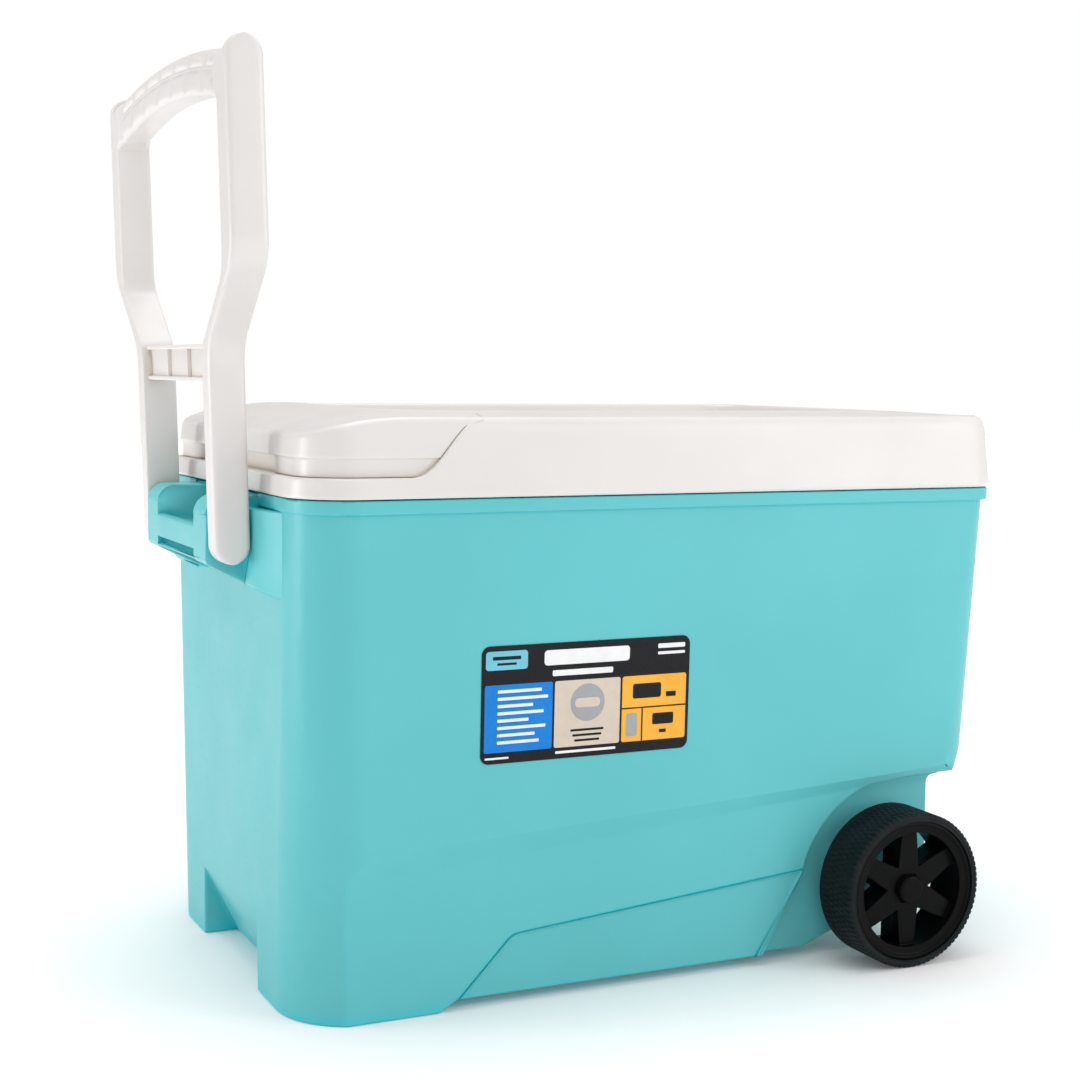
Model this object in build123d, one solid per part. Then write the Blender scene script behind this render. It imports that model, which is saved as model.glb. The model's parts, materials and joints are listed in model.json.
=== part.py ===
from build123d import *
import os
from math import radians, tan

# A wheeled picnic cooler: double-walled insulated tub, hinged lid, swing-up tow handle, two wheels.
# Millimetres, +Z up, X along the length (wheels at +X, tow handle at -X), long sides facing -Y and +Y.
# Everything is drawn about the middle of the lid's outline and moved at the end, so that the
# origin is under the middle of the whole object's box, on the surface that it stands on.

# ---- lid and rim outline
LID_LENGTH = 550.0
LID_WIDTH = 363.0
LID_R_HANDLE = 43.0
LID_R_WHEEL = 28.0
BODY_TOP = 348.7
LID_BOTTOM = 349.5
SKIRT_LOW_TOP = 363.0
LIP_BOTTOM = 375.0
SKIRT_TOP = 402.0
CROWN_TOP = 405.0
CORE_INSET = 12.6
BAND_INSET = 7.0
BAND_DEEP_HALF = 95.0
LID_SKIN_INSET = 15.6
TRAY = dict(x_low=-200.0, x_high=205.0, half_y=109.0, radius=26.0, floor=397.5)

# ---- body, measured on its outer skin
BODY_X_HANDLE = -272.0
BODY_X_WHEEL_TOP = 270.5
BODY_X_WHEEL_LOW = 253.0
BODY_HALF_TOP = 177.5
BODY_HALF_LOW = 168.7
SIDE_DRAFT = 1.445
BEAD_LOW = 339.5
BEAD_INSET = 1.5
SHELL = 3.0
LINER = 2.5
FOAM_GAP = 0.2
PANEL_DEPTH = 4.0
INNER_PANEL_DEPTH = 1.6
WELL_HALF = 156.5
GRAB_HALF = 70.0
GRAB_TOP = 53.0
GRAB_DEPTH = 26.0

# ---- tub interior
TUB_TOP = dict(x_low=-243.0, x_high=239.0, half_y=149.5, r=28.0)
TUB_LOW = dict(x_low=-236.0, x_high=222.0, half_y=142.0, r=24.0)
TUB_FLOOR = 36.0
STEP_FLOOR = 96.0
FLANGE_TOP = 348.2
PLUG_BOTTOM = 331.0
PLUG_GAP = 2.5

# ---- wheels and axle
WHEEL_X = 181.0
WHEEL_R = 57.3
AXLE_R = 5.0
WHEEL_IN = 172.5
WHEEL_OUT = 212.0
RIM_R = 47.0
SEAT_R = 51.5
WINDOW_R = 42.5
HUB_R = 13.0
WEB_HALF = 3.5
RUN = 0.06

# ---- handle bracket and tow handle
BRACKET_FRONT = -310.0
BRACKET_HALF = 82.5
CHEEK_IN = 51.5
BRACKET_LOW = 302.0
BRACKET_TOP = 346.5
WING_HALF = 108.5
WING_FOOT_HALF = 131.0
WING_X = -283.0
POCKET_X = -262.0
POCKET_LOW = 291.0
PIVOT_X = -296.5
PIVOT_Z = 315.0
ROD_R = 3.0
ARM_IN = 85.5
ARM_OUT = 103.0
ARM_DEPTH = 25.0
D_IN = 142.5
D_OUT = 166.0
JOG_LOW = 447.0
JOG_HIGH = 497.0
GRIP_TOP = 640.5
HANDLE_LEAN = 1.65

# ---- lid hinges
HINGE_X = 281.0
HINGE_Z = 350.0
HINGE_R = 5.0
HINGE_PIN_R = 2.0
HINGE_YS = (-95.0, 95.0)
HINGE_WIDTH = 50.0
SCREW_R = 1.8
SCREW_DYS = (-15.0, 15.0)
BODY_SCREW_Z = 318.0
LID_SCREW_Z = 373.0


def rounded(z, x_low, x_high, half_y, r_handle, r_wheel):
    """A rounded rectangle at height z, with one corner radius at each end."""
    corners = [(x_low, -half_y), (x_high, -half_y), (x_high, half_y), (x_low, half_y)]
    radii = [r_handle, r_wheel, r_wheel, r_handle]
    return Pos(0, 0, z) * make_face(FilletPolyline(*corners, radius=radii, close=True))


def lid_plan(z, inset):
    """The lid's outline at height z, moved inwards by inset."""
    half = LID_LENGTH / 2 - inset
    return rounded(
        z, -half, half, LID_WIDTH / 2 - inset, max(LID_R_HANDLE - inset, 4), max(LID_R_WHEEL - inset, 4)
    )


def lofted(*faces):
    return loft(list(faces), ruled=True)


def slab(z_low, z_high, inset):
    """A straight block on the lid's outline."""
    return extrude(lid_plan(z_low, inset), z_high - z_low)


def box(x_low, x_high, y_low, y_high, z_low, z_high):
    centre = ((x_low + x_high) / 2, (y_low + y_high) / 2, (z_low + z_high) / 2)
    return Pos(*centre) * Box(x_high - x_low, y_high - y_low, z_high - z_low)


def side_face(curve):
    """A face in the XZ plane from an outline drawn as (x, z)."""
    return Plane.XZ * make_face(curve)


def across(face, y_low, y_high):
    """Extrudes an XZ face from y_low to y_high."""
    return extrude(Pos(0, y_low, 0) * face, y_high - y_low, dir=(0, 1, 0))


def along_y(radius, x, z, y_low, y_high):
    return Pos(x, (y_low + y_high) / 2, z) * Rot(90, 0, 0) * Cylinder(radius, y_high - y_low)


def along_x(radius, y, z, x_low, x_high):
    return Pos((x_low + x_high) / 2, y, z) * Rot(0, 90, 0) * Cylinder(radius, x_high - x_low)


def both_sides(solid):
    return solid + mirror(solid, about=Plane.XZ)


# ---------------------------------------------------------------- body
def body_side(t):
    """The body seen from its long side: foot, raised floor, wheel end step and slanted overhang.

    The outer skin (t = 0) has rounded corners, and the faces inside the wall have sharp ones.
    """
    points = [
        (-300, 0), (-173, 0), (-161, 7), (122, 7), (147, 16), (172, 31), (230, 31), (230, 128),
        (243, 128.5), (249, 140), (255, 154), (262, 160.5), (300, 160.5), (300, 380), (-300, 380),
    ]
    radii = [0, 4, 0, 14, 12, 14, 5, 6, 9, 4, 2, 1, 0, 0, 0]
    if t == 0:
        return side_face(FilletPolyline(*points, radius=radii, close=True))
    return Plane.XZ * offset(make_face(Polyline(*points, close=True)), -t, kind=Kind.INTERSECTION)


def lower_panel_tool(t):
    """Cuts the recessed lower panel with its slanted upper edge into the -Y side, t mm further in."""
    ends = (-330.0, 330.0)
    low_edge = [113.7 + 0.071 * x for x in ends]
    high_edge = [126.6 + 0.0512 * x for x in ends]
    reach = 3.0
    out_edge = [h + (h - l) * reach / PANEL_DEPTH for h, l in zip(high_edge, low_edge)]

    def face(edge, depth):
        low, high = ends
        outline = Polyline((low, -40), (high, -40), (high, edge[1]), (low, edge[0]), close=True)
        return Pos(0, depth, 0) * side_face(outline)

    tool = lofted(face(out_edge, t - reach), face(low_edge, t + PANEL_DEPTH))
    return Pos(0, -BODY_HALF_LOW, 0) * Rot(SIDE_DRAFT, 0, 0) * tool


def inner_panel_tool(t):
    """A second, shallower step inside the lower panel."""
    corners = [(-172, -6), (-120, 48.5), (114.3, 68.7), (68, -10)]
    outline = FilletPolyline(*corners, radius=[0, 12, 0, 0], close=True)
    depth = t + PANEL_DEPTH + INNER_PANEL_DEPTH
    tool = across(side_face(outline), -20, depth)
    return Pos(0, -BODY_HALF_LOW, 0) * Rot(SIDE_DRAFT, 0, 0) * tool


def wheel_well_tool(t):
    """Room for one wheel: a slanted front edge, an arch over the wheel, and open at the wheel end."""
    front = Polyline((67.0 - t, -12), (77.8 - t, 6.3), (114.3 - t, 68.7))
    arch = ThreePointArc((114.3 - t, 68.7), (136 - t, 107 + t), (171 - t, 127.5 + t))
    top = Polyline((171 - t, 127.5 + t), (213, 132 + t), (320, 133 + t), (320, -12), (67.0 - t, -12))
    return across(side_face(front + arch + top), -260, -WELL_HALF + t)


def grab_tool(t):
    """The wedge-shaped hand hold under the handle end."""
    slope = GRAB_DEPTH / GRAB_TOP
    x_low = BODY_X_HANDLE + t
    outline = Polyline(
        (x_low - 40, GRAB_TOP + t), (x_low, GRAB_TOP + t), (x_low + slope * (GRAB_TOP + t + 20), -20),
        (x_low - 40, -20), close=True,
    )
    return across(side_face(outline), -GRAB_HALF - t, GRAB_HALF + t)


def pocket_tool(t):
    """The recess in the handle end that the bracket's base sits in."""
    half = BRACKET_HALF + 0.2 + t
    return box(BODY_X_HANDLE - 30, POCKET_X + t, -half, half, POCKET_LOW - t, 400)


def body_form(t):
    """The body's outer skin moved inwards by t, open upwards past the rim."""
    top_z = 349.0
    form = lofted(
        rounded(0, BODY_X_HANDLE + t, BODY_X_WHEEL_LOW - t, BODY_HALF_LOW - t, 55 - t, 25 - t),
        rounded(top_z, BODY_X_HANDLE + t, BODY_X_WHEEL_TOP - t, BODY_HALF_TOP - t, 41 - t, 26 - t),
    )
    form &= across(body_side(t), -250, 250)
    for tool in (lower_panel_tool(t), inner_panel_tool(t), wheel_well_tool(t)):
        form -= both_sides(tool)
    return form - grab_tool(t)


def hinge_pad(y):
    """A solid pad on the wheel end that takes two hinge screws."""
    return box(254, 273.7, y - 27, y + 27, 297, 337)


def body_shell():
    shell = body_form(0) & box(-400, 400, -300, 300, -1, BODY_TOP)
    bead = slab(BEAD_LOW, BODY_TOP, BEAD_INSET)
    shell += fillet(bead.edges().group_by(Axis.Z)[-1] + bead.edges().group_by(Axis.Z)[0], 1.2)
    shell -= body_form(SHELL) & box(-400, 400, -300, 300, -1, 349)
    for y in HINGE_YS:
        shell += hinge_pad(y)
    shell += pocket_tool(SHELL) & body_form(0.5) & box(-400, 400, -300, 300, 0, BODY_TOP)
    shell -= pocket_tool(0)
    shell -= along_y(AXLE_R + RUN, WHEEL_X, WHEEL_R, -200, 200)
    for y in HINGE_YS:
        for dy in SCREW_DYS:
            shell -= along_x(SCREW_R + 0.1, y + dy, BODY_SCREW_Z, 262, 290)
    return shell


def tub_void(t):
    """The space inside the liner, grown by t."""
    top, low = TUB_TOP, TUB_LOW
    space = lofted(
        rounded(0, low["x_low"] - t, low["x_high"] + t, low["half_y"] + t, low["r"] + t, low["r"] + t),
        rounded(349, top["x_low"] - t, top["x_high"] + t, top["half_y"] + t, top["r"] + t, top["r"] + t),
    )
    points = [
        (-320, TUB_FLOOR - t), (126 + t, TUB_FLOOR - t), (136 + t, STEP_FLOOR - t), (205 + t, STEP_FLOOR - t),
        (208 + t, 152), (232 + t, 182), (320, 182), (320, 349), (-320, 349),
    ]
    outline = FilletPolyline(*points, radius=[0, 10, 10, 12, 16, 16, 0, 0, 0], close=True)
    return space & across(side_face(outline), -250, 250)


def body_liner():
    flange = body_form(SHELL + FOAM_GAP) & box(-400, 400, -300, 300, 345.7, FLANGE_TOP)
    flange -= pocket_tool(SHELL + FOAM_GAP)
    liner = flange + (tub_void(LINER) & box(-400, 400, -300, 300, 0, FLANGE_TOP))
    return liner - tub_void(0)


def body_foam(liner_form):
    foam = body_form(SHELL + FOAM_GAP) & box(-400, 400, -300, 300, 0, 345.5)
    foam -= pocket_tool(SHELL + FOAM_GAP)
    foam -= liner_form
    foam -= along_y(8.6, WHEEL_X, WHEEL_R, -200, 200)
    for y in HINGE_YS:
        foam -= box(253.8, 300, y - 27.2, y + 27.2, 296.8, 337.2)
    return foam


# ---------------------------------------------------------------- handle bracket
def handle_bracket():
    """Base, two cheeks with slanted undersides, a grip bar with a pocket above it, and a wing behind
    each arm of the tow handle, which spreads the pull over the body and runs out into its corner."""
    base = box(POCKET_X - 11, POCKET_X, -BRACKET_HALF, BRACKET_HALF, POCKET_LOW, 347.5)
    cheek_side = FilletPolyline(
        (BODY_X_HANDLE, 284), (WING_X, 288), (BRACKET_FRONT, BRACKET_LOW), (BRACKET_FRONT, BRACKET_TOP),
        (BODY_X_HANDLE, BRACKET_TOP), radius=[0, 0, 4, 13, 0], close=True,
    )
    cheek = across(side_face(cheek_side), CHEEK_IN, BRACKET_HALF)
    wing_low, wing_mid, wing_top = 281, 287, BEAD_LOW - 0.5
    wing_side = Polyline(
        (BODY_X_HANDLE, wing_low), (WING_X, wing_mid), (WING_X, wing_top), (BODY_X_HANDLE, wing_top),
        close=True,
    )
    wing_plan = Polyline(
        (BODY_X_HANDLE, BRACKET_HALF - 1), (WING_X, BRACKET_HALF - 1), (WING_X, WING_HALF),
        (BODY_X_HANDLE, WING_FOOT_HALF), close=True,
    )
    wing = extrude(Pos(0, 0, wing_low) * make_face(wing_plan), wing_top - wing_low)
    wing &= across(side_face(wing_side), 0, 200)
    boss = along_y(10, PIVOT_X, PIVOT_Z, BRACKET_HALF - 1, ARM_IN - 0.3)
    bracket = base + both_sides(cheek + wing + boss)
    bracket += across(side_face(FilletPolyline(
        (-310, 308.5), (-290, 308.5), (-290, 317), (-272, 317), (-272, 320.5), (-304, 320.5),
        (-304, 325.5), (-310, 325.5), radius=[2, 2, 0, 0, 0, 2, 1, 2], close=True,
    )), -CHEEK_IN - 1, CHEEK_IN + 1)
    bracket += box(BRACKET_FRONT, -305, -CHEEK_IN - 1, CHEEK_IN + 1, BRACKET_LOW, 304.2)
    return bracket - along_y(ROD_R + RUN, PIVOT_X, PIVOT_Z, -120, 120)


# ---------------------------------------------------------------- tow handle
def half_handle_outline():
    """Half of the tow handle seen from its end, as (y, z), from the foot up to the crown and back."""
    outer = FilletPolyline(
        (ARM_OUT, 303), (ARM_OUT, JOG_LOW), (D_OUT, JOG_HIGH + 4), (D_OUT, 627), radius=[32, 32],
    )
    top = ThreePointArc((D_OUT, 627), (D_OUT / 2 + 6, 636.8), (0, GRIP_TOP))
    under = ThreePointArc((0, 613), (70, 609.5), (D_IN - 6, 600.5))
    inner = FilletPolyline(
        (D_IN - 6, 600.5), (D_IN, 594), (D_IN, JOG_HIGH - 4), (ARM_IN, JOG_LOW - 2), (ARM_IN, 303),
        radius=[3, 26, 26],
    )
    ends = Line((0, GRIP_TOP), (0, 613)) + Line((ARM_IN, 303), (ARM_OUT, 303))
    return outer + top + under + inner + ends


def tow_handle():
    front, back = PIVOT_X - ARM_DEPTH / 2, PIVOT_X + ARM_DEPTH / 2
    half = Pos(back, 0, 0) * (Plane.YZ * make_face(half_handle_outline()))
    side = extrude(half, -ARM_DEPTH)
    # the foot of each arm is a half circle about the pivot, and its top is rounded too
    foot = Pos(PIVOT_X, 0, PIVOT_Z) * Rot(90, 0, 0) * Cylinder(ARM_DEPTH / 2, 420)
    head = Pos(PIVOT_X, 0, 628) * Rot(90, 0, 0) * Cylinder(ARM_DEPTH / 2, 420)
    middle = box(front, back, -210, 210, PIVOT_Z, 628)
    side &= foot + middle + head + box(front + 2, back - 2, -138, 138, 600, 650)
    handle = side + mirror(side, about=Plane.XZ)
    web = box(back - 9, back - 6, -ARM_IN - 1, ARM_IN + 1, 423, 448)
    for z in (423, 445):
        web += box(front + 4, back - 6, -ARM_IN - 1, ARM_IN + 1, z, z + 3)
    for y in (-28, 28):
        web += box(front + 6, back - 6, y - 1.5, y + 1.5, 424, 447)
    handle += web
    handle -= along_y(ROD_R, PIVOT_X, PIVOT_Z, -98, 98)
    return Pos(PIVOT_X, 0, PIVOT_Z) * Rot(0, -HANDLE_LEAN, 0) * Pos(-PIVOT_X, 0, -PIVOT_Z) * handle


# ---------------------------------------------------------------- lid
def s_curve_tool(gap):
    """Everything above the low skirt at the handle end, bounded by an S-shaped edge."""
    low = (-199.0 - gap, SKIRT_LOW_TOP + gap)
    high = (-147.0 - gap, SKIRT_TOP + 0.5)
    curve = Spline(low, high, tangents=((1, 0), (1, 0)))
    rest = Polyline(high, (-147.0 - gap, 430), (-330, 430), (-330, low[1]), low)
    return across(side_face(curve + rest), -250, 250)


def lid_frame():
    """The lid's outer frame: full height on three sides, and a low skirt round the handle end."""
    outer = lofted(lid_plan(LID_BOTTOM, 0), lid_plan(394, 5))
    outer += lofted(lid_plan(394, 5), lid_plan(399.5, 7.5), lid_plan(SKIRT_TOP, 11.5))
    inner = lofted(lid_plan(LID_BOTTOM, 3), lid_plan(394, 8))
    inner += lofted(lid_plan(394, 8), lid_plan(399, CORE_INSET), lid_plan(SKIRT_TOP, CORE_INSET))
    ledge = slab(360, SKIRT_LOW_TOP, 2) - slab(360, SKIRT_LOW_TOP, 12.3)
    frame = outer - inner - s_curve_tool(0) + ledge
    for y in HINGE_YS:
        frame += box(263.5, 275.2, y - 26, y + 26, 354, 390)
    for y in HINGE_YS:
        for dy in SCREW_DYS:
            frame -= along_x(SCREW_R + 0.1, y + dy, LID_SCREW_Z, 260, 290)
    return frame


def end_roll_tool():
    """Everything above the curve in which the lid's top rolls down to the handle end."""
    roll = ThreePointArc((-276, 384), (-248, 397), (-202, 405.5))
    rest = Polyline((-202, 405.5), (-202, 430), (-290, 430), (-290, 384), (-276, 384))
    return across(side_face(roll + rest), -250, 250)


def lid_hollow(z_low, gap):
    """The space inside the lid's outer skins, lower near the handle end, and less gap all round."""
    inset = LID_SKIN_INSET + gap
    low_part = slab(z_low, 384 - gap, inset)
    return low_part + (slab(z_low, 394 - gap, inset) & box(-236 + gap, 300, -200, 200, z_low, 400))


def lid_top():
    """The upper panel: a domed top with an overhanging lip, a finger band below it, and a shallow tray."""
    core = slab(352.2, 377, CORE_INSET)
    dome = lofted(lid_plan(LIP_BOTTOM, 5.5), lid_plan(396, 6.5), lid_plan(401, 11), lid_plan(403, 38))
    dome += lofted(lid_plan(403, 38), lid_plan(CROWN_TOP, 72))
    dome -= end_roll_tool()
    band_wall = slab(SKIRT_LOW_TOP + 0.5, 377, BAND_INSET) & s_curve_tool(0.5)
    deep_end = CORE_INSET - LID_LENGTH / 2
    band_wall -= box(-300, deep_end, -BAND_DEEP_HALF, BAND_DEEP_HALF, 360, 380)
    panel = core + band_wall + (dome & s_curve_tool(0.5)) + (dome & slab(360, 420, 13.0))
    corner = TRAY["radius"]
    tray = rounded(TRAY["floor"], TRAY["x_low"], TRAY["x_high"], TRAY["half_y"], corner, corner)
    panel -= extrude(tray, 30, taper=-12)
    return panel - lid_hollow(350, 0)


def lid_liner():
    """The lid's inner skin: a flat plate with a hollow plug that drops into the tub."""
    plate = slab(LID_BOTTOM, 352, 3.4)
    top = TUB_TOP
    plug_dims = (top["x_low"] + PLUG_GAP, top["x_high"] - PLUG_GAP, top["half_y"] - PLUG_GAP)
    plug = extrude(rounded(PLUG_BOTTOM, *plug_dims, top["r"], top["r"]), LID_BOTTOM - PLUG_BOTTOM)
    inset = (plug_dims[0] + LINER, plug_dims[1] - LINER, plug_dims[2] - LINER)
    bottom = plug.faces().sort_by(Axis.Z)[0]
    plug = fillet(bottom.edges(), 4)
    pan = extrude(rounded(PLUG_BOTTOM + LINER, *inset, top["r"] - LINER, top["r"] - LINER), 30)
    return plate + plug - pan


def lid_foam():
    top = TUB_TOP
    gap = PLUG_GAP + LINER + FOAM_GAP
    plug = rounded(
        PLUG_BOTTOM + LINER + FOAM_GAP, top["x_low"] + gap, top["x_high"] - gap, top["half_y"] - gap,
        top["r"] - LINER, top["r"] - LINER,
    )
    return extrude(plug, 352.2 - PLUG_BOTTOM - LINER - FOAM_GAP) + lid_hollow(352.2, FOAM_GAP)


# ---------------------------------------------------------------- hinges
def hinge_leaf(y, on_lid):
    """One leaf with its knuckles; the body's leaf has the outer two, the lid's leaf the middle one."""
    half = HINGE_WIDTH / 2
    if on_lid:
        leaf = box(275.2, 278.2, y - half, y + half, 355.6, 388)
        leaf += box(275.2, HINGE_X, y - 9.7, y + 9.7, HINGE_Z, 357)
        leaf += along_y(HINGE_R, HINGE_X, HINGE_Z, y - 9.7, y + 9.7)
        hole_z, face_x = LID_SCREW_Z, 278.2
    else:
        leaf = box(273.7, 276.7, y - half, y + half, 300, 344)
        for low in (y - half, y + 10):
            leaf += box(273.7, 276.7, low, low + 15, 300, 349)
            leaf += box(273.7, HINGE_X, low, low + 15, 345.2, 349)
            leaf += along_y(HINGE_R, HINGE_X, HINGE_Z, low, low + 15)
        hole_z, face_x = BODY_SCREW_Z, 276.7
    leaf -= along_y(HINGE_PIN_R + (0.05 if on_lid else 0.01), HINGE_X, HINGE_Z, y - 40, y + 40)
    for dy in SCREW_DYS:
        leaf -= along_x(SCREW_R + 0.1, y + dy, hole_z, face_x - 10, face_x + 10)
    return leaf


def hinge_pin(y):
    shaft = along_y(HINGE_PIN_R, HINGE_X, HINGE_Z, y - 26.5, y + 26.5)
    return shaft + along_y(3.2, HINGE_X, HINGE_Z, y - 27.7, y - 25.2)


def pan_screw(y, z, face_x, tip_x):
    """A pan-head screw driven towards -X, with a cross recess."""
    head = along_x(3.9, y, z, face_x, face_x + 2.2)
    head = fillet(head.edges().sort_by(Axis.X)[-1], 1.2)
    head -= box(face_x + 1.1, face_x + 4, y - 2, y + 2, z - 0.4, z + 0.4)
    head -= box(face_x + 1.1, face_x + 4, y - 0.4, y + 0.4, z - 2, z + 2)
    return head + along_x(SCREW_R, y, z, tip_x, face_x + 0.5)


def screws(z, face_x, tip_x):
    return Compound([pan_screw(y + dy, z, face_x, tip_x) for y in HINGE_YS for dy in SCREW_DYS])


# ---------------------------------------------------------------- wheels, on the +Y side
def wheel_rim():
    """Rim with a stepped shoulder ring, six tapering spokes backed by webs, and a bored hub."""
    profile = FilletPolyline(
        (43.5, WHEEL_IN + 1), (RIM_R, WHEEL_IN + 1), (RIM_R, WHEEL_OUT - 4),
        (SEAT_R, WHEEL_OUT - 3.4), (SEAT_R, WHEEL_OUT - 1.4), (49, WHEEL_OUT - 0.9),
        (47.5, WHEEL_OUT - 2.6), (WINDOW_R, WHEEL_OUT - 3.2), radius=0, close=True,
    )
    ring = revolve(make_face(profile), Axis.Y)
    spoke = side_face(Polyline((10, -9.5), (45, -6.3), (45, 6.3), (10, 9.5), close=True))
    blade = across(spoke, WHEEL_OUT - 17, WHEEL_OUT - 8.5)
    web = box(10, 45, WHEEL_IN + 3, WHEEL_OUT - 12, -WEB_HALF, WEB_HALF)
    rim = ring + along_y(HUB_R, 0, 0, WHEEL_IN, WHEEL_OUT - 9)
    for n in range(6):
        rim += Rot(0, 30 + 60 * n, 0) * (blade + web)
    rim -= along_y(AXLE_R + RUN, 0, 0, 150, 230)
    return Pos(WHEEL_X, 0, WHEEL_R) * rim


def tyre():
    profile = FilletPolyline(
        (RIM_R, WHEEL_IN), (55.3, WHEEL_IN), (WHEEL_R, WHEEL_IN + 2.5), (WHEEL_R, WHEEL_OUT - 3),
        (54.5, WHEEL_OUT), (SEAT_R, WHEEL_OUT), (SEAT_R, WHEEL_OUT - 3.4), (RIM_R, WHEEL_OUT - 4),
        radius=0, close=True,
    )
    return Pos(WHEEL_X, 0, WHEEL_R) * revolve(make_face(profile), Axis.Y)


def hub_cap():
    cap = along_y(10.4, WHEEL_X, WHEEL_R, WHEEL_OUT - 8.5, WHEEL_OUT - 3)
    cap = fillet(cap.edges().sort_by(Axis.Y)[-1], 2.4)
    return cap - along_y(9, WHEEL_X, WHEEL_R, WHEEL_OUT - 10, WHEEL_OUT - 5)


def push_nut():
    nut = along_y(7.5, WHEEL_X, WHEEL_R, WHEEL_OUT - 8.9, WHEEL_OUT - 7.4)
    return nut - along_y(AXLE_R, WHEEL_X, WHEEL_R, 150, 230)


def spacer():
    ring = along_y(9, WHEEL_X, WHEEL_R, WELL_HALF + 0.05, WHEEL_IN - 0.4)
    return ring - along_y(AXLE_R + 0.03, WHEEL_X, WHEEL_R, 150, 230)


def axle():
    shaft = along_y(AXLE_R, WHEEL_X, WHEEL_R, 6 - WHEEL_OUT, WHEEL_OUT - 6)
    return chamfer(shaft.edges().filter_by(GeomType.CIRCLE), 0.8)


def axle_sleeve():
    wall = WELL_HALF - SHELL - 0.1
    tube = along_y(8, WHEEL_X, WHEEL_R, -wall, wall)
    return tube - along_y(AXLE_R + 0.03, WHEEL_X, WHEEL_R, -200, 200)


def label():
    plate = extrude(RectangleRounded(158, 80, 6), 0.5)
    upright = Plane(origin=(0, 0, 0), x_dir=(1, 0, 0), z_dir=(0, -1, 0))
    height = 210.0
    face_y = -(BODY_HALF_LOW + height * tan(radians(SIDE_DRAFT)))
    return Pos(-69.5, face_y, height) * Rot(SIDE_DRAFT, 0, 0) * (upright * plate)


def main():
    liner_form = (tub_void(LINER + FOAM_GAP) & box(-400, 400, -300, 300, 0, 349))
    nodes = {
        "body_shell": body_shell(),
        "body_foam": body_foam(liner_form),
        "body_liner": body_liner(),
        "handle_bracket": handle_bracket(),
        "label_plate": label(),
        "axle": axle(),
        "axle_sleeve": axle_sleeve(),
        "tow_handle": tow_handle(),
        "handle_pivot_rod": along_y(ROD_R, PIVOT_X, PIVOT_Z, -97.5, 97.5),
        "lid_frame": lid_frame(),
        "lid_top": lid_top(),
        "lid_foam": lid_foam(),
        "lid_liner": lid_liner(),
        "body_hinge_screws": screws(BODY_SCREW_Z, 276.7, 263),
        "lid_hinge_screws": screws(LID_SCREW_Z, 278.2, 265),
    }
    for side, y in zip(("front", "back"), HINGE_YS):
        nodes[f"{side}_body_hinge_leaf"] = hinge_leaf(y, False)
        nodes[f"{side}_lid_hinge_leaf"] = hinge_leaf(y, True)
        nodes[f"{side}_hinge_pin"] = hinge_pin(y)
    wheel_parts = {
        "wheel_rim": wheel_rim(), "tyre": tyre(), "hub_cap": hub_cap(),
        "push_nut": push_nut(), "axle_spacer": spacer(),
    }
    for name, shape in wheel_parts.items():
        nodes[f"back_{name}"] = shape
        nodes[f"front_{name}"] = mirror(shape, about=Plane.XZ)

    whole = Compound(children=[Compound(shape.solids()) for shape in nodes.values()]).bounding_box()
    shift = Pos(-whole.center().X, -whole.center().Y, -whole.min.Z)
    os.makedirs("parts", exist_ok=True)
    for name, shape in nodes.items():
        export_step(Compound([shift * solid for solid in shape.solids()]), f"parts/{name}.step")
    print("size", whole.size, "shift", shift.position)


main()
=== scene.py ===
import json
import math

import bmesh
import bpy
from mathutils import Matrix, Vector


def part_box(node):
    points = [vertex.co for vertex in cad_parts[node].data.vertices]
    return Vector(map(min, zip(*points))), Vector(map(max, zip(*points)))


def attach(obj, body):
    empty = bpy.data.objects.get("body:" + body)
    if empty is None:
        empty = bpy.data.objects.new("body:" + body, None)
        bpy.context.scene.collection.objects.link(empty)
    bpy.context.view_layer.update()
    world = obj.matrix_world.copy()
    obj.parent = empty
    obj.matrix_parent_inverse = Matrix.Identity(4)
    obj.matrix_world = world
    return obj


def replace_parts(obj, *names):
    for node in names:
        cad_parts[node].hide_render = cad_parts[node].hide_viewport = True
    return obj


# The looks of a wheeled cooler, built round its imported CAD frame. Lengths are millimetres in the
# drawing frame, whose x starts at the middle of the lid's outline, and at() turns them into metres.

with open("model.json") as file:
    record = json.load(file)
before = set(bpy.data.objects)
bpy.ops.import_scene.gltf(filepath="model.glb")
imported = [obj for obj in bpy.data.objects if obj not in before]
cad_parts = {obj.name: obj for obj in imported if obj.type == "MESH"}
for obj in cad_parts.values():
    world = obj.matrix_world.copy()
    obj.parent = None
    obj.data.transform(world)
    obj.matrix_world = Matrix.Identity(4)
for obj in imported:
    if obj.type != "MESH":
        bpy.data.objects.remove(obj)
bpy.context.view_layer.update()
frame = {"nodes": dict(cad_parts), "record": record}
NODES = frame["nodes"]
BODY_OF = {node: body for body, nodes in frame["record"]["behaviour"]["bodies"].items() for node in nodes}
SLOT_OF = {part["node"]: part["material_slot"] for part in frame["record"]["subparts"]}
MM = 0.001
LID_CENTRE = sum(corner.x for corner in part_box("lid_liner")) / 2 / MM

# ---- lid outline and heights
HALF_LENGTH = 275.0
HALF_WIDTH = 181.5
R_HANDLE = 43.0
R_WHEEL = 28.0
LID_BOTTOM = 349.5
LOW_SKIRT = 363.0
LIP = 375.0
SKIRT_TOP = 402.0
CORE_INSET = 12.6
BAND_INSET = 7.0
BAND_DEEP_HALF = 95.0
S_LOW = -199.0
S_HIGH = -147.0
S_MIDDLE = (S_LOW + S_HIGH) / 2
RIM_Z = 404.8
TRAY = dict(x_low=-200.0, x_high=205.0, half_y=109.0, r=26.0, floor=397.5)


def at(x, y, z):
    return Vector(((x + LID_CENTRE) * MM, y * MM, z * MM))


def smooth(t):
    t = min(max(t, 0.0), 1.0)
    return t * t * (3 - 2 * t)


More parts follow.
